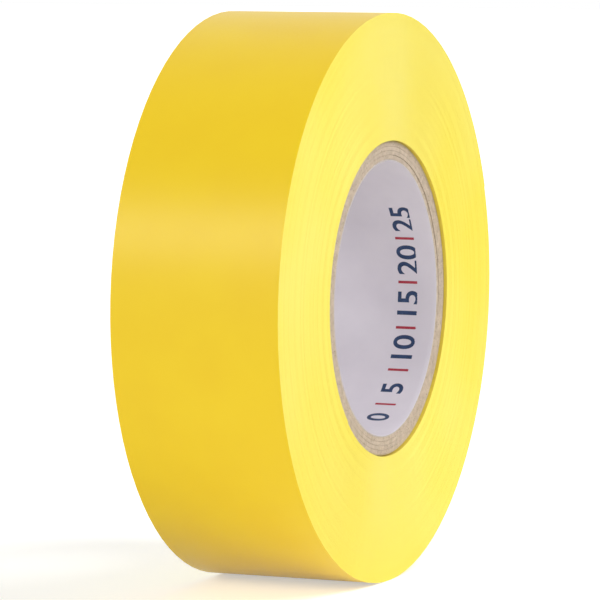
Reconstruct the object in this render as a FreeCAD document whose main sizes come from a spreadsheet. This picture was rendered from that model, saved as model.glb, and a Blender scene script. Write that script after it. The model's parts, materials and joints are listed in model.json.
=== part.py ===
"""Electrical tape roll: a laminated paper core, the wound PVC tape and its free end.

The roll stands on its rim. The core's axis is the Y axis, the origin is the middle of the bore and +Z is up.
The sizes are millimetres. The driving dimensions are cells of the spreadsheet Sizes, and every sketch and
feature reads them through expressions.
"""

import FreeCAD, Part
import math
import os

import Sketcher

# alias, value in mm or degrees, what it is
DIMENSIONS = [
    ("tape_width", 25.0, "width of the slit tape"),
    ("roll_diameter", 81.3, "outside of the last turn"),
    ("film_thickness", 0.125, "PVC backing film under winding tension"),
    ("adhesive_thickness", 0.019, "rubber adhesive under winding tension"),
    ("bond_gap", 0.005, "clearance between the free end's adhesive and the turn below it"),
    ("bore_diameter", 39.3, "inside of the liner"),
    ("core_width", 24.0, "the core is cut shorter than the tape is wide"),
    ("liner_thickness", 0.15, "white coated paper"),
    ("ply_thickness", 0.6, "grey chipboard"),
    ("wrap_thickness", 0.12, "kraft paper"),
    ("glue_line", 0.02, "between two plies, and between the core and the tape"),
    ("strip_lead", 93.4, "axial advance of a ply's strip in one turn round the core"),
    ("seam_gap", 0.3, "axial width of the gap where a ply's strip meets itself"),
    ("seam_overrun", 1.0, "how far the seam cut runs past each end of the core"),
    ("seam_depth_margin", 0.05, "how far the seam cut runs past each side of a ply"),
    ("liner_seam", 180.0, "angle of the liner's seam at the front end"),
    ("seam_stagger", 77.0, "turn between the seams of two neighbouring plies"),
    ("root_angle", 62.0, "where the free end leaves the roll, from +X towards +Z"),
    ("link_arc", 7.05, "angle that one link of the free end covers"),
    ("link_gap", 0.03, "angle left open at each hinge of the free end"),
]
PLIES = 4  # chipboard plies between the liner and the wrap
LINKS = 6  # links that stand for the flexible free end
SPIRAL_ARCS = 4  # arcs that make up the last turn's outline
STEP_FOLDER = "parts"


def make_sheet(doc):
    """The spreadsheet that holds the driving dimensions."""
    sheet = doc.addObject("Spreadsheet::Sheet", "Sizes")
    for row, (alias, size, note) in enumerate(DIMENSIONS, start=1):
        sheet.set(f"A{row}", alias)
        sheet.set(f"B{row}", str(size))
        sheet.set(f"C{row}", note)
        sheet.setAlias(f"B{row}", alias)
    doc.recompute()
    return sheet


def cell(alias):
    """A cell of the sheet, as an expression names it."""
    return f"<<Sizes>>.{alias}"


ROLL_RADIUS = f"({cell('roll_diameter')} / 2)"
BORE_RADIUS = f"({cell('bore_diameter')} / 2)"
PITCH = f"({cell('film_thickness')} + {cell('adhesive_thickness')})"
LINER_OUTSIDE = f"({BORE_RADIUS} + {cell('liner_thickness')})"


def ply_inside(number):
    """Inner radius of chipboard ply 1, 2, 3 and so on, counted from the bore."""
    return (
        f"({LINER_OUTSIDE} + {number} * {cell('glue_line')} + {number - 1} * {cell('ply_thickness')})"
    )


def ply_outside(number):
    """Outer radius of a chipboard ply."""
    return f"({ply_inside(number)} + {cell('ply_thickness')})"


WRAP_INSIDE = f"({ply_outside(PLIES)} + {cell('glue_line')})"
WRAP_OUTSIDE = f"({WRAP_INSIDE} + {cell('wrap_thickness')})"
TAPE_INSIDE = f"({WRAP_OUTSIDE} + {cell('glue_line')})"
FREE_ANGLE = f"({LINKS} * {cell('link_arc')})"


def evaluate(sheet, expression):
    """The present value of an expression on the sheet, as a plain number."""
    return float(sheet.evalExpression(expression))


def new_body(doc, label):
    """An empty PartDesign body with its label."""
    body = doc.addObject("PartDesign::Body", label)
    body.Label = label
    return body


def origin_feature(body, role):
    """One of the body's own origin planes or axes."""
    return next(f for f in body.Origin.OriginFeatures if f.Role == role)


def new_sketch(body, name, plane):
    """A sketch on one of the body's origin planes. On XZ_Plane its x is +X and its y is +Z."""
    sketch = body.newObject("Sketcher::SketchObject", name)
    sketch.AttachmentSupport = [(origin_feature(body, plane), "")]
    sketch.MapMode = "FlatFace"
    return sketch


def bind(sketch, constraint, name, expression):
    """Adds a named constraint whose value is an expression."""
    sketch.renameConstraint(sketch.addConstraint(constraint), name)
    sketch.setExpression(f"Constraints.{name}", expression)


def polar(radius, degrees):
    """A sketch point given by its distance from the axis and its angle from +X towards +Z."""
    angle = math.radians(degrees)
    return FreeCAD.Vector(radius * math.cos(angle), radius * math.sin(angle), 0)


def centred_circle(sheet, sketch, name, radius):
    """A circle about the axis whose radius is an expression."""
    circle = Part.Circle(
        FreeCAD.Vector(0, 0, 0), FreeCAD.Vector(0, 0, 1), evaluate(sheet, radius)
    )
    number = sketch.addGeometry(circle)
    sketch.addConstraint(Sketcher.Constraint("Coincident", number, 3, -1, 1))
    bind(sketch, Sketcher.Constraint("Radius", number, circle.Radius), name, radius)


def centred_pad(body, sketch, width):
    """Extrudes a sketch to both sides of its plane."""
    pad = body.newObject("PartDesign::Pad", "Pad")
    pad.Profile = sketch
    pad.SideType = "Symmetric"
    pad.setExpression("Length", width)
    sketch.Visibility = False
    return pad


def cut_seam(sheet, body, inside, outside):
    """Cuts the open helical seam along which the strip of a core ply meets itself."""
    low = f"({inside} - {cell('seam_depth_margin')})"
    high = f"({outside} + {cell('seam_depth_margin')})"
    start = f"({cell('core_width')} / 2 + {cell('seam_overrun')})"
    sketch = new_sketch(body, "SeamSection", "XY_Plane")
    x0, x1 = evaluate(sheet, low), evaluate(sheet, high)
    y0 = -evaluate(sheet, start)
    y1 = y0 + evaluate(sheet, cell("seam_gap"))
    corners = [(x0, y0), (x1, y0), (x1, y1), (x0, y1)]
    points = [FreeCAD.Vector(x, y, 0) for x, y in corners]
    for one, two in zip(points, points[1:] + points[:1]):
        sketch.addGeometry(Part.LineSegment(one, two))
    for side in range(4):
        sketch.addConstraint(Sketcher.Constraint("Coincident", side, 2, (side + 1) % 4, 1))
        sketch.addConstraint(Sketcher.Constraint(("Horizontal", "Vertical")[side % 2], side))
    bind(sketch, Sketcher.Constraint("DistanceX", -1, 1, 0, 1, x0), "inside", low)
    bind(sketch, Sketcher.Constraint("DistanceX", -1, 1, 0, 2, x1), "outside", high)
    bind(sketch, Sketcher.Constraint("DistanceY", 0, 1, -1, 1, -y0), "start", start)
    bind(sketch, Sketcher.Constraint("DistanceY", 1, 1, 1, 2, y1 - y0), "gap", cell("seam_gap"))
    helix = body.newObject("PartDesign::SubtractiveHelix", "Seam")
    helix.Profile = sketch
    helix.ReferenceAxis = (origin_feature(body, "Y_Axis"), [""])
    helix.Mode = "pitch-height-angle"
    helix.setExpression("Pitch", cell("strip_lead"))
    helix.setExpression("Height", f"2 * {start}")
    sketch.Visibility = False
    return helix


def core_ply(doc, sheet, label, inside, outside, seam_angle):
    """One ply of the core: a sleeve rolled from a strip, with its open seam at the given angle."""
    body = new_body(doc, label)
    sketch = new_sketch(body, "Ring", "XZ_Plane")
    centred_circle(sheet, sketch, "inside", inside)
    centred_circle(sheet, sketch, "outside", outside)
    centred_pad(body, sketch, cell("core_width"))
    doc.recompute()
    whole = body.Shape.Volume
    cut_seam(sheet, body, inside, outside)
    doc.recompute()
    strip = evaluate(sheet, f"{cell('seam_gap')} * ({outside} - {inside}) * {cell('core_width')}")
    turn = 2 * math.pi * evaluate(sheet, f"({inside} + {outside}) / 2") / evaluate(
        sheet, cell("strip_lead")
    )
    if not 0.8 * strip * turn < whole - body.Shape.Volume < 1.2 * strip * turn:
        raise RuntimeError(f"{label}: the seam removed {whole - body.Shape.Volume:.3f} mm3")
    body.Placement = FreeCAD.Placement(
        FreeCAD.Vector(0, 0, 0), FreeCAD.Rotation(FreeCAD.Vector(0, 1, 0), -seam_angle)
    )
    return body


def make_core(doc, sheet):
    """The core: a white liner, the chipboard plies and a kraft wrap, one inside the other."""
    seam = evaluate(sheet, cell("liner_seam"))
    stagger = evaluate(sheet, cell("seam_stagger"))
    parts = [core_ply(doc, sheet, "core_liner", BORE_RADIUS, LINER_OUTSIDE, seam)]
    for number in range(1, PLIES + 1):
        angle = seam + number * stagger
        inside, outside = ply_inside(number), ply_outside(number)
        parts.append(core_ply(doc, sheet, f"core_ply_{number}", inside, outside, angle))
    angle = seam + (PLIES + 1) * stagger
    parts.append(core_ply(doc, sheet, "core_wrap", WRAP_INSIDE, WRAP_OUTSIDE, angle))
    return parts


def spoke(sheet, sketch, name, radius, angle):
    """A construction line from the axis to a point of the outline, with its length and angle bound."""
    turned = evaluate(sheet, angle) > 180
    angle = f"({angle} - 360)" if turned else angle
    length, degrees = evaluate(sheet, radius), evaluate(sheet, angle)
    line = Part.LineSegment(FreeCAD.Vector(0, 0, 0), polar(length, degrees))
    number = sketch.addGeometry(line, True)
    sketch.addConstraint(Sketcher.Constraint("Coincident", number, 1, -1, 1))
    bind(sketch, Sketcher.Constraint("Distance", number, length), f"{name}_reach", radius)
    constraint = Sketcher.Constraint("Angle", number, math.radians(degrees))
    bind(sketch, constraint, f"{name}_angle", f"{angle} * 1 deg")
    return number, polar(length, degrees)


def arc_between(sketch, start, end, radius):
    """An anticlockwise arc of a given radius from one point to another, on the far side of the chord."""
    middle, half = (start + end) * 0.5, (end - start) * 0.5
    inward = FreeCAD.Vector(-half.y, half.x, 0).normalize()
    centre = middle + inward * math.sqrt(radius**2 - half.Length**2)
    circle = Part.Circle(centre, FreeCAD.Vector(0, 0, 1), radius)
    first, last = circle.parameter(start), circle.parameter(end)
    return sketch.addGeometry(Part.ArcOfCircle(circle, first, last))


def make_winding(doc, sheet):
    """The wound tape without its free end: its outline falls by one turn's thickness from the root of the
    free end, right round the roll, to the bed that the free end lies on."""
    body = new_body(doc, "tape_winding")
    sketch = new_sketch(body, "Turns", "XZ_Plane")
    bed = f"({ROLL_RADIUS} - {PITCH})"
    share = f"((360 - {FREE_ANGLE}) / {SPIRAL_ARCS})"
    spokes = []
    for step in range(SPIRAL_ARCS + 1):
        radius = f"({ROLL_RADIUS} - {PITCH} * {step} / {SPIRAL_ARCS})"
        angle = f"({cell('root_angle')} + {step} * {share})"
        spokes.append(spoke(sheet, sketch, f"spoke_{step}", radius, angle))
    spokes.append(spoke(sheet, sketch, "bed_end", bed, cell("root_angle")))
    arcs = []
    for step, (one, two) in enumerate(zip(spokes, spokes[1:])):
        level = min(step + 0.5, SPIRAL_ARCS)
        radius = f"({ROLL_RADIUS} - {PITCH} * {level} / {SPIRAL_ARCS})"
        size = evaluate(sheet, radius)
        arc = arc_between(sketch, one[1], two[1], size)
        sketch.addConstraint(Sketcher.Constraint("Coincident", arc, 1, one[0], 2))
        sketch.addConstraint(Sketcher.Constraint("Coincident", arc, 2, two[0], 2))
        bind(sketch, Sketcher.Constraint("Radius", arc, size), f"arc_{step}", radius)
        arcs.append(arc)
    riser = sketch.addGeometry(Part.LineSegment(spokes[-1][1], spokes[0][1]))
    sketch.addConstraint(Sketcher.Constraint("Coincident", riser, 1, arcs[-1], 2))
    sketch.addConstraint(Sketcher.Constraint("Coincident", riser, 2, arcs[0], 1))
    centred_circle(sheet, sketch, "inside", TAPE_INSIDE)
    centred_pad(body, sketch, cell("tape_width"))
    return body


def link_plate(doc, sheet, label, inside, outside, low, high):
    """A thin curved plate about the roll's axis, between two radii and two angles."""
    body = new_body(doc, label)
    sketch = new_sketch(body, "Section", "XZ_Plane")
    angles = [evaluate(sheet, low), evaluate(sheet, high)]
    for name, radius in (("inside", inside), ("outside", outside)):
        size = evaluate(sheet, radius)
        circle = Part.Circle(FreeCAD.Vector(0, 0, 0), FreeCAD.Vector(0, 0, 1), size)
        first, last = (math.radians(a) for a in angles)
        arc = sketch.addGeometry(Part.ArcOfCircle(circle, first, last))
        sketch.addConstraint(Sketcher.Constraint("Coincident", arc, 3, -1, 1))
        bind(sketch, Sketcher.Constraint("Radius", arc, size), name, radius)
    radii = [evaluate(sheet, r) for r in (inside, outside)]
    ends = (("low", low, angles[0], 1), ("high", high, angles[1], 2))
    for name, expression, degrees, arc_end in ends:
        points = [polar(r, degrees) for r in radii]
        line = sketch.addGeometry(Part.LineSegment(*points))
        sketch.addConstraint(Sketcher.Constraint("Coincident", line, 1, 0, arc_end))
        sketch.addConstraint(Sketcher.Constraint("Coincident", line, 2, 1, arc_end))
        sketch.addConstraint(Sketcher.Constraint("PointOnObject", -1, 1, line))
        constraint = Sketcher.Constraint("Angle", line, math.radians(degrees))
        bind(sketch, constraint, f"{name}_angle", f"{expression} * 1 deg")
    centred_pad(body, sketch, cell("tape_width"))
    return body


def make_free_end(doc, sheet):
    """The free end: a chain of short film links, each with its adhesive on the inner side. The hinges lie on
    the film's outer surface, so that the links part as the end is lifted."""
    film_inside = f"({ROLL_RADIUS} - {cell('film_thickness')})"
    glue_inside = f"({ROLL_RADIUS} - {PITCH} + {cell('bond_gap')})"
    parts = []
    for number in range(1, LINKS + 1):
        near = f"{cell('root_angle')} - {number - 1} * {cell('link_arc')} - {cell('link_gap')} / 2"
        far = f"{cell('root_angle')} - {number} * {cell('link_arc')} + {cell('link_gap')} / 2"
        low, high = f"({far})", f"({near})"
        layers = (
            (f"free_end_film_{number}", film_inside, ROLL_RADIUS),
            (f"free_end_adhesive_{number}", glue_inside, film_inside),
        )
        for label, inside, outside in layers:
            parts.append(link_plate(doc, sheet, label, inside, outside, low, high))
    return parts


def write_steps(doc, parts):
    """Checks every object and every part's solid, then writes one STEP file for each part."""
    doc.recompute()
    for item in doc.Objects:
        if "Invalid" in item.State or "Error" in item.State:
            raise RuntimeError(f"{item.Name} is {item.State}")
    for part in parts:
        shape = part.Shape
        if shape.isNull() or not shape.isValid() or shape.Volume <= 0:
            raise RuntimeError(f"{part.Label} has no valid shape")
        if len(shape.Solids) != 1:
            raise RuntimeError(f"{part.Label} has {len(shape.Solids)} solids")
    os.makedirs(STEP_FOLDER, exist_ok=True)
    for part in parts:
        part.Shape.exportStep(f"{STEP_FOLDER}/{part.Label}.step")
        print(f"{part.Label}: {part.Shape.Volume:.2f} mm3")


def main():
    """Builds the roll and writes its parts."""
    doc = FreeCAD.newDocument("electrical_tape_roll")
    sheet = make_sheet(doc)
    parts = make_core(doc, sheet)
    parts.append(make_winding(doc, sheet))
    parts += make_free_end(doc, sheet)
    write_steps(doc, parts)


main()
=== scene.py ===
"""The looks of a roll of electrical tape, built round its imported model.

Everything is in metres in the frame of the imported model: the roll stands on its rim, the core's axis is Y,
the origin is the middle of the bore and +Z is up. An angle is counted from +X towards +Z. The front is the
-Y side.
"""

import json
import logging
import math
from dataclasses import dataclass
from enum import Enum
from typing import Any

import bmesh
import bpy
from mathutils import Euler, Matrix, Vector, noise

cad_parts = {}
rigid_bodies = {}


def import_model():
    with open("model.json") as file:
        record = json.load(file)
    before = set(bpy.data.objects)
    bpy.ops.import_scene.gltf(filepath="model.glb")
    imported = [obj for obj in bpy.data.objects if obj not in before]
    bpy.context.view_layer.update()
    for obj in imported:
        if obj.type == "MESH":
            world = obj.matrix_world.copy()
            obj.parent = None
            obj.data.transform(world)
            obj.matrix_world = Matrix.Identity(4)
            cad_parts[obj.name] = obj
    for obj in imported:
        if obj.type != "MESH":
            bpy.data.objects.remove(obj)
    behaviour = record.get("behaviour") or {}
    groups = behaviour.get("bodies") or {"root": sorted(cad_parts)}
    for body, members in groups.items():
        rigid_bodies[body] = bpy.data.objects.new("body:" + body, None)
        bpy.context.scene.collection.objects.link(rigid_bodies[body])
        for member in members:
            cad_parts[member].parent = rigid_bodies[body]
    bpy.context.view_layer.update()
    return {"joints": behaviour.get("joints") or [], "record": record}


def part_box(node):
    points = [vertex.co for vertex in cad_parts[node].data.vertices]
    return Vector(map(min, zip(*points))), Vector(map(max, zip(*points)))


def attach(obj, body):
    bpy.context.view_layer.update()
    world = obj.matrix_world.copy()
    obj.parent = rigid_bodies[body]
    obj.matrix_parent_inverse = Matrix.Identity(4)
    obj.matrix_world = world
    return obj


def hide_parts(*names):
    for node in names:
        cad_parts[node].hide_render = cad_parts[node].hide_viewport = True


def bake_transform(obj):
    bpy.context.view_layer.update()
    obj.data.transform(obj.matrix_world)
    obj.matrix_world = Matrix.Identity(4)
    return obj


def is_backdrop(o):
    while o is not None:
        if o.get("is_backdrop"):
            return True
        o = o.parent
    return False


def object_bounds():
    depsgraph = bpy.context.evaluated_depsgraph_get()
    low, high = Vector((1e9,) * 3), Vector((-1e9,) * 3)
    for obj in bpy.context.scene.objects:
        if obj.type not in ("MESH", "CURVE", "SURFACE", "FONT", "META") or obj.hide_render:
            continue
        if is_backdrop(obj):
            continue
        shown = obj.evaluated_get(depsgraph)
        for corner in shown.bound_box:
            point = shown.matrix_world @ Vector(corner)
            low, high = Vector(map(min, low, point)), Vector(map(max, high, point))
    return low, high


MM = 0.001
FULL_TURN = 2 * math.pi
GLUE_LINE = 0.02 * MM  # between two plies, and between the wrap and the first turn of tape
VINYL_IOR = 1.53
RUBBER_IOR = 1.5
PAPER_IOR = 1.5
BOARD_IOR = 1.45
LOG = logging.getLogger("tape_roll")


# ---------------------------------------------------------------- helpers


def linear(code: str) -> tuple[float, float, float, float]:
    """Turns an sRGB hex colour into a linear one.

    Args:
        code: six hex digits, such as "F2C81E".

    Returns:
        Linear red, green, blue and an alpha of 1.
    """
    parts = [int(code[i : i + 2], 16) / 255 for i in (0, 2, 4)]
    red, green, blue = (
        p / 12.92 if p <= 0.04045 else ((p + 0.055) / 1.055) ** 2.4 for p in parts
    )
    return red, green, blue, 1.0


def set_inputs(tree: bpy.types.NodeTree, node: bpy.types.Node, inputs: dict[Any, Any]) -> None:
    """Sets a node's inputs.

    Args:
        tree: the node's tree.
        node: the node.
        inputs: socket name or number to a constant, or to an output socket that is linked to it.
    """
    for socket, value in inputs.items():
        if isinstance(value, bpy.types.NodeSocket):
            tree.links.new(value, node.inputs[socket])
        else:
            node.inputs[socket].default_value = value


def add_node(
    tree: bpy.types.NodeTree,
    kind: str,
    inputs: dict[Any, Any] | None = None,
    **settings: Any,
) -> bpy.types.Node:
    """Adds a node to a shader or geometry tree.

    Args:
        tree: the tree that gets the node.
        kind: the node's type name.
        inputs: its inputs, as set_inputs takes them.
        settings: the node's own properties.

    Returns:
        The new node.
    """
    node = tree.nodes.new(kind)
    for name, value in settings.items():
        setattr(node, name, value)
    set_inputs(tree, node, inputs or {})
    return node


def new_object(name: str, mesh: bpy.types.Mesh) -> bpy.types.Object:
    """Links a mesh into the scene as an object at the origin."""
    piece = bpy.data.objects.new(name, mesh)
    bpy.context.scene.collection.objects.link(piece)
    return piece


def new_tree(name: str, inputs: tuple[tuple[str, str], ...], output: str) -> bpy.types.NodeTree:
    """Starts a Geometry Nodes tree.

    Args:
        name: the tree's name.
        inputs: the label and the type of each input.
        output: the label of the geometry that it gives.

    Returns:
        The tree, with its inputs and its output but no nodes.
    """
    tree = bpy.data.node_groups.new(name, "GeometryNodeTree")
    for label, kind in inputs:
        tree.interface.new_socket(label, in_out="INPUT", socket_type=f"NodeSocket{kind}")
    tree.interface.new_socket(output, in_out="OUTPUT", socket_type="NodeSocketGeometry")
    return tree


def grow(
    name: str,
    tree: bpy.types.NodeTree,
    values: dict[str, Any],
    seedbed: bpy.types.Mesh | None = None,
    sharp_degrees: float = 30.0,
) -> bpy.types.Object:
    """Runs a Geometry Nodes tree once and keeps its result as a plain mesh.

    Args:
        name: the finished object's name.
        tree: the tree.
        values: the tree's input names and what they are set to.
        seedbed: the mesh that the tree starts from, if it reads one.
        sharp_degrees: edges that turn by more than this stay sharp.

    Returns:
        The object, with no modifier left on it.
    """
    source = new_object(f"{name}_source", seedbed or bpy.data.meshes.new(name))
    modifier = source.modifiers.new("Grow", "NODES")
    modifier.node_group = tree
    sockets = {
        item.name: item.identifier
        for item in tree.interface.items_tree
        if item.item_type == "SOCKET" and item.in_out == "INPUT"
    }
    for label, value in values.items():
        modifier[sockets[label]] = value
    graph = bpy.context.evaluated_depsgraph_get()
    mesh = bpy.data.meshes.new_from_object(source.evaluated_get(graph))
    source.modifiers.remove(modifier)
    bpy.data.objects.remove(source)
    mesh.name = name
    mesh.shade_smooth()
    mesh.set_sharp_from_angle(angle=math.radians(sharp_degrees))
    return new_object(name, mesh)


def point_at(radius: float, degrees: float, y: float) -> Vector:
    """A point given by its distance from the roll's axis, its angle and its place along the axis."""
    angle = math.radians(degrees)
    return Vector((radius * math.cos(angle), y, radius * math.sin(angle)))


def smooth_step(value: float) -> float:
    """0 below 0, 1 above 1 and a smooth rise between them."""
    share = min(max(value, 0.0), 1.0)
    return share * share * (3 - 2 * share)


def handed_over(piece: bpy.types.Object, slot: str, body: str, *nodes: str) -> None:
    """Makes a piece ride on a body and hides the nodes that it stands for."""
    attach(piece, body)
    if nodes:
        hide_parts(*nodes)
    LOG.info("%s rides on %s, %d faces", piece.name, body, len(piece.data.polygons))


# ---------------------------------------------------------------- finishes


def new_shader(name: str) -> tuple[bpy.types.Material, Any, bpy.types.Node, Any]:
    """Starts a material.

    Args:
        name: the material's name.

    Returns:
        The material, its tree, its Principled shader and the socket of the object's own coordinates.
    """
    material = bpy.data.materials.new(name)
    material.use_nodes = True
    tree = material.node_tree
    tree.nodes.clear()
    shader = add_node(tree, "ShaderNodeBsdfPrincipled")
    add_node(tree, "ShaderNodeOutputMaterial", {"Surface": shader.outputs["BSDF"]})
    place = add_node(tree, "ShaderNodeTexCoord").outputs["Object"]
    return material, tree, shader, place


def tinted(
    tree: Any,
    mask: Any,
    span: tuple[float, float],
    amounts: tuple[float, float],
    under: Any,
    over: Any,
) -> Any:
    """Lays one colour over another as a mask says.

    Args:
        tree: the material's tree.
        mask: the mask's socket.
        span: the mask's values at the two ends of the change.
        amounts: how much of the upper colour shows at each end.
        under: a linear colour or a colour socket.
        over: a linear colour or a colour socket.

    Returns:
        The mixed colour's socket.
    """
    ranged = {"Value": mask, "From Min": span[0], "From Max": span[1]}
    amount = add_node(
        tree, "ShaderNodeMapRange", ranged | {"To Min": amounts[0], "To Max": amounts[1]}
    )
    mixed = add_node(
        tree, "ShaderNodeMix", {0: amount.outputs[0], 6: under, 7: over}, data_type="RGBA"
    )
    return mixed.outputs[2]


def mottled(
    tree: Any, place: Any, size: float, low: Any, high: Any, detail: float = 2.0
) -> Any:
    """A colour that drifts between two others over a given distance.

    Args:
        tree: the material's tree.
        place: the coordinates that the drift follows.
        size: how far apart its light and dark patches are, in metres.
        low: a linear colour or a colour socket.
        high: a linear colour or a colour socket.
        detail: the noise's detail.

    Returns:
        The mixed colour's socket.
    """
    drift = add_node(
        tree, "ShaderNodeTexNoise", {"Vector": place, "Scale": 1 / size, "Detail": detail}
    )
    return tinted(tree, drift.outputs[0], (0.3, 0.7), (0.0, 1.0), low, high)


def relief(
    tree: Any, place: Any, spacing: float, depth: float, under: Any = None, **texture: float
) -> tuple[Any, Any]:
    """A fine relief on a surface.

    Args:
        tree: the material's tree.
        place: the coordinates that it follows.
        spacing: how far apart its bumps are, in metres.
        depth: how deep it is, in metres.
        under: the normal of the relief that this one lies on, if there is one.
        texture: other inputs of its noise, such as Detail.

    Returns:
        The sockets of the noise and of the bumped normal.
    """
    waves = add_node(
        tree, "ShaderNodeTexNoise", {"Vector": place, "Scale": 1 / spacing} | texture
    ).outputs[0]
    inputs = {"Height": waves, "Distance": depth, "Strength": 1.0}
    if under is not None:
        inputs["Normal"] = under
    return waves, add_node(tree, "ShaderNodeBump", inputs).outputs[0]


def roll_lines(tree: Any, place: Any) -> tuple[Any, Any]:
    """The two coordinates that wound tape has.

    Args:
        tree: the material's tree.
        place: the object's own coordinates.

    Returns:
        A vector that holds only the place across the tape's width, and one that holds only the radius.
    """
    split = add_node(tree, "ShaderNodeSeparateXYZ", {0: place})
    across = add_node(tree, "ShaderNodeCombineXYZ", {"Y": split.outputs["Y"]})
    flat = add_node(
        tree, "ShaderNodeCombineXYZ", {"X": split.outputs["X"], "Z": split.outputs["Z"]}
    )
    reach = add_node(tree, "ShaderNodeVectorMath", {0: flat.outputs[0]}, operation="LENGTH")
    radial = add_node(tree, "ShaderNodeCombineXYZ", {"X": reach.outputs["Value"]})
    return across.outputs[0], radial.outputs[0]


def sawn_ends(tree: Any) -> Any:
    """A value that is near 1 on the ends of a sleeve, where it was sawn, and near 0 on its walls."""
    facing = add_node(tree, "ShaderNodeTexCoord")
    parts = add_node(tree, "ShaderNodeSeparateXYZ", {0: facing.outputs["Normal"]})
    along = add_node(tree, "ShaderNodeMath", {0: parts.outputs["Y"]}, operation="ABSOLUTE")
    return along.outputs[0]


@dataclass(frozen=True)
class CalenderedFilm:
    """The backing of PVC tape: soft vinyl, calendered and stretched as it was wound.

    The eye gets a deep yellow with a wide satin highlight, a fine grain in that highlight, and faint lines
    that run along the tape, as the calender's rolls leave them.
    """

    colour: str = "ECC914"
    deep_colour: str = "EAC512"
    roughness: float = 0.37
    roughness_range: float = 0.06
    gloss: float = 0.34
    grain: float = 0.22 * MM  # real calender grain is finer: this is as coarse as it has to be to show
    grain_depth: float = 0.004 * MM
    line_spacing: float = 0.7 * MM
    line_depth: float = 0.002 * MM
    patch: float = 9 * MM

    def make(self) -> bpy.types.Material:
        """Builds the material."""
        material, tree, shader, place = new_shader("calendered_pvc_film")
        across, _ = roll_lines(tree, place)
        base = mottled(
            tree, place, self.patch, linear(self.colour), linear(self.deep_colour)
        )
        grain, fine = relief(
            tree, place, self.grain, self.grain_depth, Detail=3.0, Roughness=0.6
        )
        _, coarse = relief(tree, across, self.line_spacing, self.line_depth, fine, Detail=2.0)
        shine = add_node(
            tree,
            "ShaderNodeMapRange",
            {
                "Value": grain,
                "From Min": 0.25,
                "From Max": 0.75,
                "To Min": self.roughness - self.roughness_range,
                "To Max": self.roughness + self.roughness_range,
            },
        )
        values = {
            "Base Color": base,
            "IOR": VINYL_IOR,
            "Specular IOR Level": self.gloss,
            "Roughness": shine.outputs[0],
            "Normal": coarse,
        }
        set_inputs(tree, shader, values)
        return material


@dataclass(frozen=True)
class SlitEdges:
    """The side of the roll: the edges of all its turns, where a blade slit the soft vinyl.

    A cut edge scatters more light than the film's face, so the eye gets a paler lemon yellow with a whitish
    haze, and rings a few turns wide that differ a little because the tension changed as the roll was wound.
    """

    colour: str = "FAE94E"
    hazy_colour: str = "FBEE70"
    ring_colour: str = "F9E752"
    roughness: float = 0.55
    gloss: float = 0.25
    ring_width: float = 1.3 * MM
    turn_pitch: float = 0.144 * MM
    patch: float = 26 * MM
    nick_depth: float = 0.003 * MM

    def make(self) -> bpy.types.Material:
        """Builds the material."""
        material, tree, shader, place = new_shader("slit_pvc_edges")
        _, radial = roll_lines(tree, place)
        hazy = mottled(
            tree, place, self.patch, linear(self.hazy_colour), linear(self.colour), 1.0
        )
        rings = add_node(
            tree,
            "ShaderNodeTexNoise",
            {"Vector": radial, "Scale": 1 / self.ring_width, "Detail": 3.0},
        )
        base = tinted(
            tree, rings.outputs[0], (0.35, 0.8), (0.0, 0.2), hazy, linear(self.ring_colour)
        )
        _, nicks = relief(tree, place, self.turn_pitch, self.nick_depth, Detail=2.0)
        values = {
            "Base Color": base,
            "IOR": VINYL_IOR,
            "Specular IOR Level": self.gloss,
            "Roughness": self.roughness,
            "Normal": nicks,
        }
        set_inputs(tree, shader, values)
        return material


@dataclass(frozen=True)
class TackyAdhesive:
    """Rubber adhesive coated on the film: a thin, slightly cloudy layer that takes the film's yellow.

    The coating knife leaves fine lines along the tape, and the surface is wetter in its shine than the film.
    """

    colour: str = "EBD24A"
    cloudy_colour: str = "E2C843"
    roughness: float = 0.28
    line_spacing: float = 0.4 * MM
    line_depth: float = 0.004 * MM
    patch: float = 3 * MM

    def make(self) -> bpy.types.Material:
        """Builds the material."""
        material, tree, shader, place = new_shader("rubber_adhesive")
        across, _ = roll_lines(tree, place)
        base = mottled(
            tree, place, self.patch, linear(self.colour), linear(self.cloudy_colour)
        )
        _, lines = relief(tree, across, self.line_spacing, self.line_depth, Detail=2.0)
        values = {
            "Base Color": base,
            "IOR": RUBBER_IOR,
            "Roughness": self.roughness,
            "Normal": lines,
        }
        set_inputs(tree, shader, values)
        return material


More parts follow.
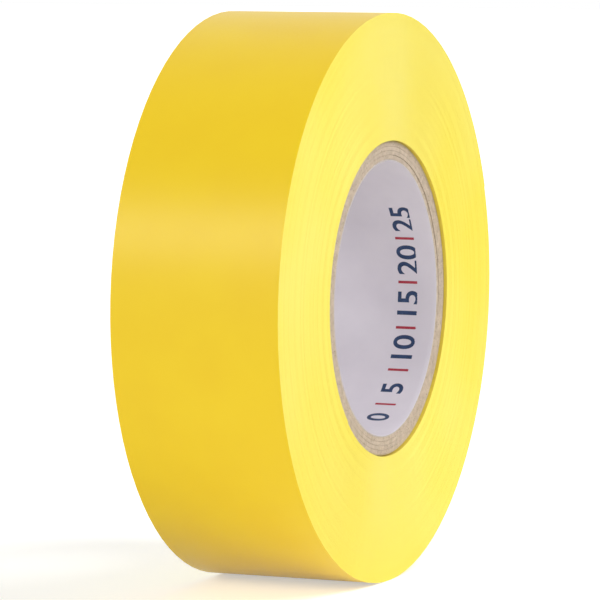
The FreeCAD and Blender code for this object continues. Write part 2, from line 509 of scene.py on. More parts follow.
@dataclass(frozen=True)
class Board:
    """Paper board made of recycled pulp, sawn or cut to length.

    It is matt, with cloudy pulp, pale fibres, and dark specks of old print that are far apart.
    """

    name: str
    colour: str
    cloudy_colour: str
    fibre_colour: str
    speck_colour: str
    roughness: float = 0.92
    gloss: float = 0.2
    fibre: float = 0.16 * MM
    cloud: float = 1.1 * MM
    speck: float = 0.5 * MM
    depth: float = 0.03 * MM

    def make(self) -> bpy.types.Material:
        """Builds the material."""
        material, tree, shader, place = new_shader(self.name)
        pulp = mottled(
            tree, place, self.cloud, linear(self.colour), linear(self.cloudy_colour), 3.0
        )
        fibres = add_node(
            tree,
            "ShaderNodeTexNoise",
            {
                "Vector": place,
                "Scale": 1 / self.fibre,
                "Detail": 4.0,
                "Roughness": 0.65,
                "Distortion": 1.2,
            },
        )
        pale = linear(self.fibre_colour)
        with_fibres = tinted(tree, fibres.outputs[0], (0.52, 0.72), (0.0, 0.55), pulp, pale)
        specks = add_node(
            tree,
            "ShaderNodeTexVoronoi",
            {"Vector": place, "Scale": 1 / self.speck, "Randomness": 1.0},
        )
        near, dark = specks.outputs["Distance"], linear(self.speck_colour)
        base = tinted(tree, near, (0.1, 0.2), (0.7, 0.0), with_fibres, dark)
        bump = add_node(
            tree,
            "ShaderNodeBump",
            {"Height": fibres.outputs[0], "Distance": self.depth, "Strength": 0.9},
        )
        values = {
            "Base Color": base,
            "IOR": BOARD_IOR,
            "Specular IOR Level": self.gloss,
            "Roughness": self.roughness,
            "Normal": bump.outputs[0],
        }
        set_inputs(tree, shader, values)
        return material


@dataclass(frozen=True)
class CoatedPaper:
    """White paper with a clay coating, smoothed between rollers.

    It is a cool, even white with a soft sheen, and faint clouds where the coating is thinner.
    """

    colour: str = "E0DAE1"
    thin_colour: str = "DAD4DC"
    cut_colour: str = "BDB2A9"
    roughness: float = 0.42
    gloss: float = 0.4
    patch: float = 5 * MM
    tooth: float = 0.3 * MM
    tooth_depth: float = 0.004 * MM

    def make(self) -> bpy.types.Material:
        """Builds the material."""
        material, tree, shader, place = new_shader("coated_liner_paper")
        base = mottled(
            tree, place, self.patch, linear(self.colour), linear(self.thin_colour), 3.0
        )
        _, tooth = relief(tree, place, self.tooth, self.tooth_depth, Detail=3.0)
        cut = linear(self.cut_colour)
        base = tinted(tree, sawn_ends(tree), (0.4, 0.8), (0.0, 1.0), base, cut)
        values = {
            "Base Color": base,
            "IOR": PAPER_IOR,
            "Specular IOR Level": self.gloss,
            "Roughness": self.roughness,
            "Normal": tooth,
        }
        set_inputs(tree, shader, values)
        return material


@dataclass(frozen=True)
class PrintInk:
    """Flexographic ink on coated paper: flat and matt, and a little thin where the plate pressed less."""

    name: str
    colour: str
    thin_colour: str
    roughness: float = 0.5
    gloss: float = 0.3
    patch: float = 0.8 * MM

    def make(self) -> bpy.types.Material:
        """Builds the material."""
        material, tree, shader, place = new_shader(self.name)
        base = mottled(
            tree, place, self.patch, linear(self.colour), linear(self.thin_colour)
        )
        values = {"Base Color": base, "Specular IOR Level": self.gloss, "Roughness": self.roughness}
        set_inputs(tree, shader, values)
        return material


CHIPBOARD = Board("grey_chipboard", "CDBBA8", "B5A491", "E9DFD0", "5E5244")
KRAFT = Board("kraft_paper", "D6C9A4", "C4B48E", "E6DCBC", "7E6B4A")
NAVY_INK = PrintInk("navy_print_ink", "25385A", "31466B")
RED_INK = PrintInk("red_print_ink", "A32F3F", "B23F4C")


# ---------------------------------------------------------------- the wound strip


STRIP_INPUTS = (
    ("Points", "Int"),
    ("Turns Per Point", "Float"),
    ("Start Angle", "Float"),
    ("Outer Radius", "Float"),
    ("Pitch", "Float"),
    ("Sinking Share", "Float"),
    ("Thickness", "Float"),
    ("Width", "Float"),
    ("Corner", "Float"),
    ("Wander", "Float"),
    ("Shiver", "Float"),
    ("Face", "Material"),
    ("Edge", "Material"),
)
WANDERS_PER_TURN = 0.13
SHIVERS_PER_TURN = 1.1
EDGE_LEAN = 0.3  # a face of the strip belongs to its edge where its normal leans past this towards the axis


def wound_strip_tree() -> bpy.types.NodeTree:
    """Builds the Geometry Nodes tree of a strip that is wound round the Y axis.

    The strip's middle line is a spiral. In each turn it sinks by one pitch over the first share of the turn
    and then stays level, as the last turn does under the free end. Its section is a rectangle with cut
    corners.

    Returns:
        The tree. Its lengths are in metres and its angles in radians.
    """
    tree = new_tree("WoundStrip", STRIP_INPUTS, "Strip")
    given = add_node(tree, "NodeGroupInput").outputs
    step = add_node(tree, "ShaderNodeCombineXYZ", {"X": given["Turns Per Point"]})
    line = add_node(
        tree, "GeometryNodeMeshLine", {"Count": given["Points"], "Offset": step.outputs[0]}
    )
    path = add_node(tree, "GeometryNodeMeshToCurve", {0: line.outputs[0]})
    here = add_node(
        tree, "ShaderNodeSeparateXYZ", {0: add_node(tree, "GeometryNodeInputPosition").outputs[0]}
    )
    turns = here.outputs["X"]

    whole = add_node(tree, "ShaderNodeMath", {0: turns}, operation="FLOOR")
    part = add_node(tree, "ShaderNodeMath", {0: turns}, operation="FRACT")
    sunk = add_node(
        tree,
        "ShaderNodeMath",
        {0: part.outputs[0], 1: given["Sinking Share"]},
        operation="DIVIDE",
        use_clamp=True,
    )
    depth = add_node(
        tree, "ShaderNodeMath", {0: whole.outputs[0], 1: sunk.outputs[0]}, operation="ADD"
    )
    fall = add_node(
        tree, "ShaderNodeMath", {0: depth.outputs[0], 1: given["Pitch"]}, operation="MULTIPLY"
    )
    face = add_node(
        tree, "ShaderNodeMath", {0: given["Outer Radius"], 1: fall.outputs[0]}, operation="SUBTRACT"
    )
    radius = add_node(
        tree,
        "ShaderNodeMath",
        {0: given["Thickness"], 1: -0.5, 2: face.outputs[0]},
        operation="MULTIPLY_ADD",
    )
    angle = add_node(
        tree,
        "ShaderNodeMath",
        {0: turns, 1: FULL_TURN, 2: given["Start Angle"]},
        operation="MULTIPLY_ADD",
    )
    across = add_node(tree, "ShaderNodeMath", {0: angle.outputs[0]}, operation="COSINE")
    upward = add_node(tree, "ShaderNodeMath", {0: angle.outputs[0]}, operation="SINE")

    # The tape drifts sideways over many turns and shivers a little within each.
    offsets = []
    for amount, scale in ((given["Wander"], WANDERS_PER_TURN), (given["Shiver"], SHIVERS_PER_TURN)):
        drift = add_node(
            tree,
            "ShaderNodeTexNoise",
            {"W": turns, "Scale": scale, "Detail": 1.0},
            noise_dimensions="1D",
        )
        centred = add_node(
            tree, "ShaderNodeMath", {0: drift.outputs[0], 1: 0.5}, operation="SUBTRACT"
        )
        offsets.append(
            add_node(
                tree, "ShaderNodeMath", {0: centred.outputs[0], 1: amount}, operation="MULTIPLY"
            ).outputs[0]
        )
    sideways = add_node(
        tree, "ShaderNodeMath", {0: offsets[0], 1: offsets[1]}, operation="ADD"
    )

    unit = add_node(
        tree, "ShaderNodeCombineXYZ", {"X": across.outputs[0], "Z": upward.outputs[0]}
    )
    spoke = add_node(
        tree,
        "ShaderNodeVectorMath",
        {0: unit.outputs[0], "Scale": radius.outputs[0]},
        operation="SCALE",
    )
    shift = add_node(tree, "ShaderNodeCombineXYZ", {"Y": sideways.outputs[0]})
    place = add_node(
        tree, "ShaderNodeVectorMath", {0: spoke.outputs[0], 1: shift.outputs[0]}, operation="ADD"
    )
    spiral = add_node(
        tree, "GeometryNodeSetPosition", {"Geometry": path.outputs[0], "Position": place.outputs[0]}
    )
    steady = add_node(
        tree,
        "GeometryNodeSetCurveNormal",
        {"Curve": spiral.outputs[0], "Normal": (0.0, 1.0, 0.0)},
        mode="FREE",
    )
    section = add_node(
        tree,
        "GeometryNodeCurvePrimitiveQuadrilateral",
        {"Width": given["Width"], "Height": given["Thickness"]},
        mode="RECTANGLE",
    )
    cornered = add_node(
        tree,
        "GeometryNodeFilletCurve",
        {"Curve": section.outputs[0], "Radius": given["Corner"], "Count": 1},
        mode="POLY",
    )
    swept = add_node(
        tree,
        "GeometryNodeCurveToMesh",
        {"Curve": steady.outputs[0], "Profile Curve": cornered.outputs[0], "Fill Caps": True},
    )
    outward = add_node(
        tree, "ShaderNodeSeparateXYZ", {0: add_node(tree, "GeometryNodeInputNormal").outputs[0]}
    )
    lean = add_node(tree, "ShaderNodeMath", {0: outward.outputs["Y"]}, operation="ABSOLUTE")
    is_edge = add_node(
        tree, "ShaderNodeMath", {0: lean.outputs[0], 1: EDGE_LEAN}, operation="GREATER_THAN"
    )
    faced = add_node(
        tree, "GeometryNodeSetMaterial", {"Geometry": swept.outputs[0], "Material": given["Face"]}
    )
    edged = add_node(
        tree,
        "GeometryNodeSetMaterial",
        {
            "Geometry": faced.outputs[0],
            "Selection": is_edge.outputs[0],
            "Material": given["Edge"],
        },
    )
    real = add_node(tree, "GeometryNodeRealizeInstances", {0: edged.outputs[0]})
    add_node(tree, "NodeGroupOutput", {0: real.outputs[0]})
    return tree


@dataclass
class Roll:
    """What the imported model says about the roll, and the strip tree that its tape is made with.

    Attributes:
        radius: outside of the last turn.
        half_width: half the tape's width.
        bore_radius: inside of the liner.
        core_half: half the core's width.
        hinge_angles: where the free end's hinges are, in degrees, from its root to its last hinge.
        tape_inside: inside of the first turn.
        strip: the wound strip's tree.
    """

    radius: float
    half_width: float
    bore_radius: float
    core_half: float
    hinge_angles: list[float]
    tape_inside: float
    strip: bpy.types.NodeTree

    @property
    def link_arc(self) -> float:
        """The angle that one link of the free end covers, in degrees."""
        return self.hinge_angles[0] - self.hinge_angles[1]

    @property
    def free_arc(self) -> float:
        """The angle that the whole free end covers, in degrees."""
        return self.link_arc * len(self.hinge_angles)


def measure_roll(frame: dict[str, Any]) -> Roll:
    """Reads the roll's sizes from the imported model.


    Returns:
        The sizes, in metres and degrees.
    """
    hinges = [Vector(joint["pos_m"]) for joint in frame["joints"]]
    bore = next(m for m in frame["record"]["mounts"] if m["name"] == "core_bore")
    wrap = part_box("core_wrap")[1]
    return Roll(
        radius=hinges[0].length,
        half_width=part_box("tape_winding")[1].y,
        bore_radius=bore["dims"]["r_mm"] * MM,
        core_half=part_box("core_liner")[1].y,
        hinge_angles=[math.degrees(math.atan2(h.z, h.x)) for h in hinges],
        tape_inside=max(wrap.x, wrap.z) + GLUE_LINE,
        strip=wound_strip_tree(),
    )


@dataclass
class TapeStock:
    """The tape itself: its layers, and how far each stands back at the slit sides."""

    film: float = 0.125 * MM
    adhesive: float = 0.019 * MM
    film_setback: float = 0.06 * MM
    adhesive_setback: float = 0.09 * MM
    film_corner: float = 0.012 * MM
    adhesive_corner: float = 0.004 * MM

    @property
    def pitch(self) -> float:
        """Film and adhesive together: how far one turn lies above the next."""
        return self.film + self.adhesive


class Layer(Enum):
    """The two layers of the tape."""

    FILM = "film"
    ADHESIVE = "adhesive"


@dataclass
class Tape:
    """All the tape on the roll: the wound turns and the free end that peels off."""

    roll: Roll
    stock: TapeStock
    film_finish: bpy.types.Material
    edge_finish: bpy.types.Material
    adhesive_finish: bpy.types.Material
    points_per_turn: int = 88
    points_per_link: int = 20
    wander: float = 0.055 * MM
    shiver: float = 0.012 * MM
    bend_share: float = 0.45  # a part of a link, counted from its hinge
    tip_skew: float = 0.35 * MM  # how far out of square the free end was cut

    def layer_values(self, layer: Layer) -> dict[str, Any]:
        """The strip tree's inputs that belong to a layer, wherever the layer lies.

        Args:
            layer: film or adhesive.

        Returns:
            Input names and values.
        """
        stock, roll = self.stock, self.roll
        if layer is Layer.FILM:
            setback, corner = stock.film_setback, stock.film_corner
            thickness, radius = stock.film, roll.radius
            face, edge = self.film_finish, self.edge_finish
        else:
            setback, corner = stock.adhesive_setback, stock.adhesive_corner
            thickness, radius = stock.adhesive, roll.radius - stock.film
            face = edge = self.adhesive_finish
        return {
            "Outer Radius": radius,
            "Thickness": thickness,
            "Width": 2 * (roll.half_width - setback),
            "Corner": corner,
            "Sinking Share": 1 - roll.free_arc / 360,
            "Face": face,
            "Edge": edge,
        }

    def build_turns(self, layer: Layer) -> bpy.types.Object:
        """Winds one layer of the tape, from the free end's root in to the core."""
        roll = self.roll
        turns = (roll.radius - roll.tape_inside) / self.stock.pitch - 1
        values = self.layer_values(layer) | {
            "Points": int(turns * self.points_per_turn),
            "Turns Per Point": 1 / self.points_per_turn,
            "Start Angle": math.radians(roll.hinge_angles[0]),
            "Pitch": self.stock.pitch,
            "Wander": self.wander,
            "Shiver": self.shiver,
        }
        return grow(f"wound_{layer.value}", roll.strip, values)

    def skew_tip(self, piece: bpy.types.Object, tip: float) -> None:
        """Cuts the free end a little out of square.

        Args:
            piece: the last piece of the free end.
            tip: the angle where it ends, in degrees.
        """
        for vertex in piece.data.vertices:
            place = vertex.co
            angle = math.degrees(math.atan2(place.z, place.x))
            near = smooth_step(1 - (angle - tip) / (self.roll.link_arc / 2))
            across = place.y / self.roll.half_width
            shift = near * self.tip_skew * (0.5 + 0.5 * across)
            reach = math.hypot(place.x, place.z)
            vertex.co = point_at(reach, angle + math.degrees(shift / reach), place.y)

    def build_free_piece(self, layer: Layer, number: int) -> bpy.types.Object:
        """Makes one piece of the free end. Each spans one hinge, from the middle of one link to the next.

        Args:
            layer: film or adhesive.
            number: 1 for the piece at the root. The last piece spans no hinge and ends in the tip.

        Returns:
            The piece. The last one rides on the last link; the others stay where they were grown, on no
            body.
        """
        roll = self.roll
        hinges = len(roll.hinge_angles)
        high = roll.hinge_angles[0] - (number - 1.5) * roll.link_arc
        high = min(high, roll.hinge_angles[0])
        low = max(
            roll.hinge_angles[0] - (number - 0.5) * roll.link_arc,
            roll.hinge_angles[0] - roll.free_arc,
        )
        points = max(2, round(self.points_per_link * (high - low) / roll.link_arc))
        values = self.layer_values(layer) | {
            "Points": points + 1,
            "Turns Per Point": (high - low) / 360 / points,
            "Start Angle": math.radians(low),
            "Pitch": 0.0,
            "Wander": 0.0,
            "Shiver": 0.0,
        }
        piece = grow(f"free_{layer.value}_{number}", roll.strip, values)
        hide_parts(f"free_end_{layer.value}_{min(number, hinges)}")
        if number > hinges:
            self.skew_tip(piece, low)
            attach(piece, f"free_end_{hinges}")
        else:
            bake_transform(piece)
        LOG.info("%s bends with the free end", piece.name)
        return piece

    def build(self) -> None:
        """Winds both layers and lays the free end on them."""
        turns = self.build_turns(Layer.FILM)
        handed_over(turns, "pvc_film", "roll", "tape_winding")
        handed_over(self.build_turns(Layer.ADHESIVE), "adhesive", "roll")
        for layer in Layer:
            for number in range(1, len(self.roll.hinge_angles) + 2):
                self.build_free_piece(layer, number)


# ---------------------------------------------------------------- the core


@dataclass
class Sleeve:
    """One ply of the core: a strip wound into a sleeve and sawn to length at both ends.

    Attributes:
        name: the piece's name.
        node: the node that it stands for.
        slot: the record's material slot.
        inside: inner radius.
        outside: outer radius.
        half: half its length.
        seam: the angle of its butt seam at the front end, in degrees.
        finish: its material.
        burr: how rough its sawn ends are.
        lifted: how far it has come away from the ply outside it, at the front end.
    """

    name: str
    node: str
    slot: str
    inside: float
    outside: float
    half: float
    seam: float
    finish: bpy.types.Material
    burr: float
    lifted: float = 0.0
    lead: float = 93.4 * MM  # axial advance of the strip in one turn
    seam_gap: float = 0.18  # degrees
    steps: int = 400
    wall_rows: int = 31  # so that the walls stay round between rows although the strip winds along them
    end_rows: int = 5
    end_share: float = 0.99  # the part of its half length past which a point belongs to a sawn end
    edge_along: float = 0.04 * MM
    edge_across: float = 0.02 * MM
    sharp_degrees: float = 50.0
    fine: float = 0.4 * MM  # the two sizes of the saw's roughness
    broad: float = 1.9 * MM
    lift_depth: float = 3.2 * MM
    lift_middle: float = 28.0  # degrees
    lift_reach: float = 62.0  # degrees

    def section(self) -> list[tuple[float, float]]:
        """The sleeve's section as places across the ply and along it, each from -1 to 1, in order."""
        long = 1 - self.edge_along / self.half
        short = 1 - 2 * self.edge_across / (self.outside - self.inside)
        wall = [long * (2 * i / (self.wall_rows - 1) - 1) for i in range(self.wall_rows)]
        end = [short * (2 * i / (self.end_rows - 1) - 1) for i in range(self.end_rows)]
        points = [(-1.0, w) for w in wall]
        points += [(e, 1.0) for e in end]
        points += [(1.0, -w) for w in wall]
        points += [(-e, -1.0) for e in end]
        return points

    def lift(self, degrees: float, y: float) -> float:
        """How far the ply has moved in towards the axis at a place."""
        away = abs((degrees - self.lift_middle + 180) % 360 - 180) / self.lift_reach
        window = 1 - smooth_step(away)
        depth = 1 - smooth_step((y + self.half) / self.lift_depth)
        return self.lifted * window * depth

    def place(self, degrees: float, across: float, along: float) -> Vector:
        """A point of the sleeve's surface.

        Args:
            degrees: the angle, with the strip's lead already taken into it.
            across: -1 on the inner wall and 1 on the outer wall.
            along: -1 at the front end and 1 at the back end.

        Returns:
            The point, with the saw's roughness on the ends.
        """
        middle, thick = (self.inside + self.outside) / 2, (self.outside - self.inside) / 2
        y = along * self.half
        radius = middle + across * thick - self.lift(degrees, y)
        point = point_at(radius, degrees, y)
        if abs(along) > self.end_share:
            end = point_at(radius, degrees, math.copysign(self.half, along))
            rough = 0.5 + 0.4 * noise.noise(end / self.fine) + 0.4 * noise.noise(end / self.broad)
            point.y -= math.copysign(self.burr * rough, along)
        return point

    def build(self) -> bpy.types.Object:
        """Makes the sleeve as a closed mesh, open at its seam."""
        section = self.section()
        cut = bmesh.new()
        loops = []
        for step in range(self.steps + 1):
            turn = self.seam_gap / 2 + (360 - self.seam_gap) * step / self.steps
            loop = []
            for across, along in section:
                advance = 360 * self.half * (along + 1) / self.lead
                degrees = self.seam - advance + turn
                loop.append(cut.verts.new(self.place(degrees, across, along)))
            loops.append(loop)
        count = len(section)
        for one, two in zip(loops, loops[1:]):
            for i in range(count):
                j = (i + 1) % count
                cut.faces.new((one[i], one[j], two[j], two[i]))
        cut.faces.new(loops[0])
        cut.faces.new(list(reversed(loops[-1])))
        bmesh.ops.recalc_face_normals(cut, faces=cut.faces)
        mesh = bpy.data.meshes.new(self.name)
        cut.to_mesh(mesh)
        cut.free()
        mesh.shade_smooth()
        mesh.set_sharp_from_angle(angle=math.radians(self.sharp_degrees))
        mesh.materials.append(self.finish)
        piece = new_object(self.name, mesh)
        handed_over(piece, self.slot, "roll", self.node)
        return piece


FIBRE_INPUTS = (
    ("Sleeves", "Geometry"),
    ("Fibres Per Square Metre", "Float"),
    ("Length", "Float"),
    ("Thickness", "Float"),
    ("Seed", "Int"),
    ("Material", "Material"),
)
END_LEAN = 0.6  # a face of a sleeve belongs to its sawn end where its normal leans past this


def fuzz_tree() -> bpy.types.NodeTree:
    """Builds the tree that scatters paper fibres on the sawn ends of a sleeve.

    Returns:
        The tree. It reads a mesh and gives only the fibres that stand on its end faces.
    """
    tree = new_tree("SawnFibres", FIBRE_INPUTS, "Fibres")
    given = add_node(tree, "NodeGroupInput").outputs
    outward = add_node(
        tree, "ShaderNodeSeparateXYZ", {0: add_node(tree, "GeometryNodeInputNormal").outputs[0]}
    )
    lean = add_node(tree, "ShaderNodeMath", {0: outward.outputs["Y"]}, operation="ABSOLUTE")
    on_end = add_node(
        tree, "ShaderNodeMath", {0: lean.outputs[0], 1: END_LEAN}, operation="GREATER_THAN"
    )
    spots = add_node(
        tree,
        "GeometryNodeDistributePointsOnFaces",
        {
            "Mesh": given["Sleeves"],
            "Selection": on_end.outputs[0],
            "Density": given["Fibres Per Square Metre"],
            "Seed": given["Seed"],
        },
        distribute_method="RANDOM",
    )
    hair = add_node(
        tree,
        "GeometryNodeCurveQuadraticBezier",
        {
            "Resolution": 3,
            "Start": (-0.5, 0.0, -0.02),
            "Middle": (0.0, 0.22, 0.10),
            "End": (0.5, 0.0, 0.0),
        },
    )
    sized = add_node(
        tree,
        "GeometryNodeTransform",
        {
            "Geometry": hair.outputs[0],
            "Scale": add_node(
                tree,
                "ShaderNodeCombineXYZ",
                {"X": given["Length"], "Y": given["Length"], "Z": given["Length"]},
            ).outputs[0],
        },
    )
    outline = add_node(
        tree, "GeometryNodeCurvePrimitiveCircle", {"Resolution": 3, "Radius": given["Thickness"]}
    )
    strand = add_node(
        tree,
        "GeometryNodeCurveToMesh",
        {"Curve": sized.outputs[0], "Profile Curve": outline.outputs[0], "Fill Caps": True},
    )
    spin = add_node(
        tree,
        "FunctionNodeRandomValue",
        {"Min": (0.0, 0.0, 0.0), "Max": (0.2, 0.2, FULL_TURN), "Seed": given["Seed"]},
        data_type="FLOAT_VECTOR",
    )
    stretch = add_node(
        tree,
        "FunctionNodeRandomValue",
        {2: 0.5, 3: 1.5, "Seed": given["Seed"]},
        data_type="FLOAT",
    )
    stood = add_node(
        tree,
        "GeometryNodeInstanceOnPoints",
        {
            "Points": spots.outputs["Points"],
            "Instance": strand.outputs[0],
            "Rotation": spots.outputs["Rotation"],
            "Scale": stretch.outputs[1],
        },
    )
    turned = add_node(
        tree,
        "GeometryNodeRotateInstances",
        {"Instances": stood.outputs[0], "Rotation": spin.outputs[0]},
    )
    real = add_node(tree, "GeometryNodeRealizeInstances", {0: turned.outputs[0]})
    dressed = add_node(
        tree, "GeometryNodeSetMaterial", {"Geometry": real.outputs[0], "Material": given["Material"]}
    )
    add_node(tree, "NodeGroupOutput", {0: dressed.outputs[0]})
    return tree


@dataclass
class Core:
    """The core: a white liner, the chipboard plies and a kraft wrap, with the fibres of its sawn ends."""

    roll: Roll
    liner_finish: bpy.types.Material
    board_finish: bpy.types.Material
    wrap_finish: bpy.types.Material
    first_seam: float = 180.0
    seam_stagger: float = 77.0
    plies: int = 4
    board_burr: float = 0.10 * MM
    paper_burr: float = 0.04 * MM
    split: float = 0.42 * MM
    fibres_per_mm2: float = 2.2
    fibre_length: float = 0.42 * MM
    fibre_thickness: float = 0.012 * MM

    def outer_radius(self, node: str) -> float:
        """The outer radius of a core node."""
        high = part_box(node)[1]
        return max(high.x, high.z)

    def build(self) -> None:
        """Makes the sleeves from the bore outwards, then their fibres."""
        roll = self.roll
        half, inside = roll.core_half, roll.bore_radius
        nodes = ["core_liner"] + [f"core_ply_{n}" for n in range(1, self.plies + 1)] + ["core_wrap"]
        boards = []
        for number, node in enumerate(nodes):
            outside = self.outer_radius(node)
            if number == 0:
                slot, finish, burr = "liner_paper", self.liner_finish, self.paper_burr
            elif node == "core_wrap":
                slot, finish, burr = "kraft_paper", self.wrap_finish, self.paper_burr
            else:
                slot, finish, burr = "chipboard", self.board_finish, self.board_burr
            sleeve = Sleeve(
                name=f"{node}_sleeve",
                node=node,
                slot=slot,
                inside=inside,
                outside=outside,
                half=half,
                seam=self.first_seam + number * self.seam_stagger,
                finish=finish,
                burr=burr,
                lifted=self.split if number <= 1 else 0.0,
            )
            piece = sleeve.build()
            if slot == "chipboard":
                boards.append(piece)
            inside = outside + GLUE_LINE
        self.build_fuzz(boards)

    def build_fuzz(self, boards: list[bpy.types.Object]) -> None:
        """Scatters the fibres on the ends of the chipboard sleeves.

        Args:
            boards: the chipboard sleeves.
        """
        joined = bmesh.new()
        for board in boards:
            joined.from_mesh(board.data)
        seedbed = bpy.data.meshes.new("fibre_seedbed")
        joined.to_mesh(seedbed)
        joined.free()
        values = {
            "Fibres Per Square Metre": self.fibres_per_mm2 / MM**2,
            "Length": self.fibre_length,
            "Thickness": self.fibre_thickness,
            "Seed": 7,
            "Material": self.board_finish,
        }
        fibres = grow("sawn_fibres", fuzz_tree(), values, seedbed)
        handed_over(fibres, "chipboard", "roll")


@dataclass
class LengthScale:
    """A plain scale printed on the liner: numbers from 0 up, with a bar between each pair.

    It reads upwards on the +X wall of the bore, with its feet towards the front.
    """

    roll: Roll
    number_ink: bpy.types.Material
    bar_ink: bpy.types.Material
    first_angle: float = -67.0  # degrees
    spacing: float = 19.6  # degrees between two numbers' middles
    numbers: tuple[str, ...] = ("0", "5", "10", "15", "20", "25")
    foot: float = 3.4 * MM  # from the tape's front side to the feet of the numbers
    height: float = 3.2 * MM
    figure_share: float = 0.69  # how high the built-in face's figures are, as a part of its size
    weight: float = 0.08 * MM  # how much bolder than the built-in face the figures are
    bar_width: float = 0.4 * MM
    ink: float = 0.008 * MM
    bite: float = 0.002 * MM  # how deep the ink's back lies in the paper
    merge: float = 0.0001 * MM
    slice_width: float = 0.5 * MM

    def wrap(self, name: str, flat: bmesh.types.BMesh, finish: bpy.types.Material) -> None:
        """Bends a flat print onto the liner and hands it over.

        Args:
            name: the piece's name.
            flat: the print, with x along the circumference and y along the tape's width, in metres.
            finish: its ink.
        """
        xs = [v.co.x for v in flat.verts]
        cuts = int((max(xs) - min(xs)) / self.slice_width)
        for i in range(1, cuts):
            parts = flat.verts[:] + flat.edges[:] + flat.faces[:]
            at = Vector((min(xs) + i * self.slice_width, 0, 0))
            bmesh.ops.bisect_plane(flat, geom=parts, plane_co=at, plane_no=(1, 0, 0))
        face = self.roll.bore_radius
        foot = self.foot - self.roll.half_width
        for vertex in flat.verts:
            x, y, lift = vertex.co
            reach = face - self.bite if lift <= 0 else face - self.ink
            vertex.co = point_at(reach, math.degrees(x / face), foot + y)
        bmesh.ops.recalc_face_normals(flat, faces=flat.faces)
        mesh = bpy.data.meshes.new(name)
        flat.to_mesh(mesh)
        flat.free()
        mesh.materials.append(finish)
        handed_over(new_object(name, mesh), "liner_paper", "roll")

    def lettering(self) -> bmesh.types.BMesh:
        """The numbers as one flat mesh."""
        flat = bmesh.new()
        for i, number in enumerate(self.numbers):
            curve = bpy.data.curves.new("number", "FONT")
            curve.body = number
            curve.align_x = "CENTER"
            curve.size = self.height / self.figure_share
            curve.extrude = self.ink
            curve.offset = self.weight
            curve.resolution_u = 6
            text = bpy.data.objects.new("number", curve)
            bpy.context.scene.collection.objects.link(text)
            graph = bpy.context.evaluated_depsgraph_get()
            mesh = bpy.data.meshes.new_from_object(text.evaluated_get(graph))
            middle = math.radians(self.first_angle + i * self.spacing) * self.roll.bore_radius
            for vertex in mesh.vertices:
                vertex.co.x += middle
            flat.from_mesh(mesh)
            bpy.data.objects.remove(text)
        bmesh.ops.remove_doubles(flat, verts=flat.verts, dist=self.merge)
        return flat

    def bars(self) -> bmesh.types.BMesh:
        """The bars between the numbers as one flat mesh."""
        flat = bmesh.new()
        for i in range(len(self.numbers) - 1):
            middle = math.radians(self.first_angle + (i + 0.5) * self.spacing)
            made = bmesh.ops.create_cube(flat, size=1.0)["verts"]
            for vertex in made:
                vertex.co.x = vertex.co.x * self.bar_width + middle * self.roll.bore_radius
                vertex.co.y = (vertex.co.y + 0.5) * self.height
                vertex.co.z = math.copysign(self.ink, vertex.co.z)
        return flat

    def build(self) -> None:
        """Prints the numbers and the bars."""
        self.wrap("scale_numbers", self.lettering(), self.number_ink)
        self.wrap("scale_bars", self.bars(), self.bar_ink)


# ---------------------------------------------------------------- stage


@dataclass
class Lamp:
    """A distant soft lamp.

    Attributes:
        name: what it is for.
        towards: the direction from the roll to the lamp.
        level: how bright it makes a white surface that faces it, from 0 to 1.
        spread: how wide it looks from the roll, in degrees.
    """

    name: str
    towards: tuple[float, float, float]
    level: float
    spread: float

    def build(self) -> None:
        """Adds the lamp."""
        data = bpy.data.lights.new(self.name, "SUN")
        data.energy = self.level * math.pi
        data.angle = math.radians(self.spread)
        lamp = bpy.data.objects.new(self.name, data)
        lamp.rotation_euler = Vector(self.towards).to_track_quat("Z", "Y").to_euler()
        bpy.context.scene.collection.objects.link(lamp)


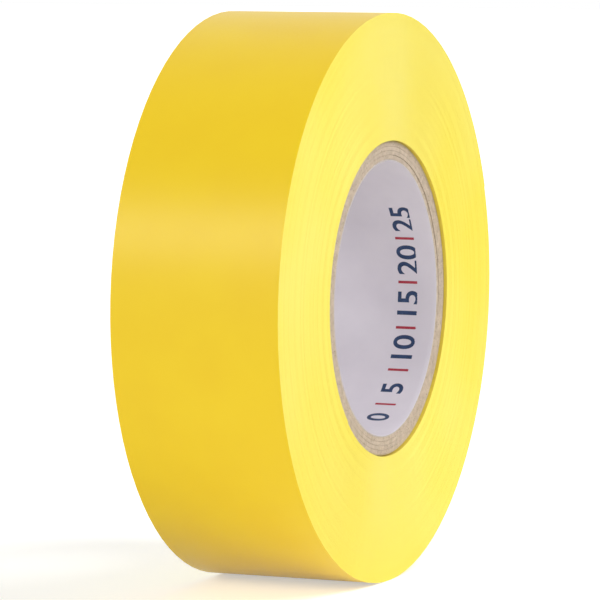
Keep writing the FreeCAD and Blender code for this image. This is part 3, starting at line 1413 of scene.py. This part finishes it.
@dataclass
class Stage:
    """The pale floor, the white surroundings, the lamps and the camera."""

    roll: Roll
    ambient: float = 0.35
    floor_colour: str = "FAFAFA"
    floor_glow: float = 0.45
    floor_half: float = 3.0
    lens: float = 263.55
    azimuth: float = -67.09
    elevation: float = 5.25
    distance: float = 15.5106  # in roll radii, as the next two are
    camera_left: float = 0.03426
    camera_up: float = 0.01647

    def shown_white(self, tree: Any, hidden: float, shown: float) -> Any:
        """A strength with one value for rays that show the surroundings and another for those that light.

        Args:
            tree: the world's or a material's tree.
            hidden: the strength for the rays that light the roll.
            shown: the strength for camera, glossy and transmission rays.

        Returns:
            The strength's socket.
        """
        path = add_node(tree, "ShaderNodeLightPath")
        total = add_node(
            tree,
            "ShaderNodeMath",
            {0: path.outputs["Is Camera Ray"], 1: path.outputs["Is Glossy Ray"]},
            operation="ADD",
        )
        either = add_node(
            tree,
            "ShaderNodeMath",
            {0: total.outputs[0], 1: path.outputs["Is Transmission Ray"]},
            operation="ADD",
            use_clamp=True,
        )
        strength = add_node(
            tree,
            "ShaderNodeMapRange",
            {"Value": either.outputs[0], "To Min": hidden, "To Max": shown},
        )
        return strength.outputs[0]

    def build_world(self) -> None:
        """Surrounds the roll with white."""
        world = bpy.data.worlds.new("white_surroundings")
        world.use_nodes = True
        tree = world.node_tree
        tree.nodes.clear()
        strength = self.shown_white(tree, self.ambient, 1.0)
        sky = add_node(
            tree, "ShaderNodeBackground", {"Color": linear("FFFFFF"), "Strength": strength}
        )
        add_node(tree, "ShaderNodeOutputWorld", {"Surface": sky.outputs[0]})
        bpy.context.scene.world = world

    def build_floor(self) -> None:
        """Lays the floor under the roll."""
        material = bpy.data.materials.new("pale_floor")
        material.use_nodes = True
        tree = material.node_tree
        tree.nodes.clear()
        matt = add_node(tree, "ShaderNodeBsdfDiffuse", {"Color": linear(self.floor_colour)})
        glow = add_node(
            tree, "ShaderNodeEmission", {"Strength": self.shown_white(tree, 0.0, self.floor_glow)}
        )
        both = add_node(tree, "ShaderNodeAddShader", {0: matt.outputs[0], 1: glow.outputs[0]})
        add_node(tree, "ShaderNodeOutputMaterial", {"Surface": both.outputs[0]})
        side, low = self.floor_half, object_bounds()[0].z
        corners = [(-side, -side, low), (side, -side, low), (side, side, low), (-side, side, low)]
        mesh = bpy.data.meshes.new("floor")
        mesh.from_pydata(corners, [], [(0, 1, 2, 3)])
        mesh.materials.append(material)
        new_object("floor", mesh)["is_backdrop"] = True

    def build_camera(self) -> None:
        """Places the camera to the front left of the roll and a little above it."""
        turn, rise = math.radians(self.azimuth), math.radians(self.elevation)
        facing = Euler((math.pi / 2 - rise, 0, turn))
        right, up, back = facing.to_matrix().transposed()
        radius = self.roll.radius
        data = bpy.data.cameras.new("camera")
        data.sensor_width, data.lens = 36.0, self.lens
        data.clip_start, data.clip_end = 0.01, 20.0
        camera = bpy.data.objects.new("camera", data)
        camera.rotation_euler = facing
        camera.location = radius * (
            self.distance * back - self.camera_left * right - self.camera_up * up
        )
        bpy.context.scene.collection.objects.link(camera)
        bpy.context.scene.camera = camera

    def build(self) -> None:
        """Builds the stage."""
        self.build_world()
        self.build_floor()
        for lamp in (
            Lamp("front_lamp", (0.22, -0.68, 0.69), 0.63, 36),
            Lamp("side_lamp", (-0.98, -0.12, 0.02), 0.455, 46),
            Lamp("highlight_lamp", (-0.81, 0.39, 0.44), 0.20, 16),
        ):
            lamp.build()
        self.build_camera()
        bpy.context.scene.view_settings.view_transform = "Standard"


def main() -> None:
    """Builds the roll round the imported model, then the stage."""
    logging.basicConfig(level=logging.INFO, format="%(name)s: %(message)s")
    for leftover in list(bpy.data.objects):
        bpy.data.objects.remove(leftover)
    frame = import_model()
    roll = measure_roll(frame)
    Tape(
        roll,
        TapeStock(),
        CalenderedFilm().make(),
        SlitEdges().make(),
        TackyAdhesive().make(),
    ).build()
    Core(roll, CoatedPaper().make(), CHIPBOARD.make(), KRAFT.make()).build()
    LengthScale(roll, NAVY_INK.make(), RED_INK.make()).build()
    Stage(roll).build()


if __name__ == "__main__":
    main()
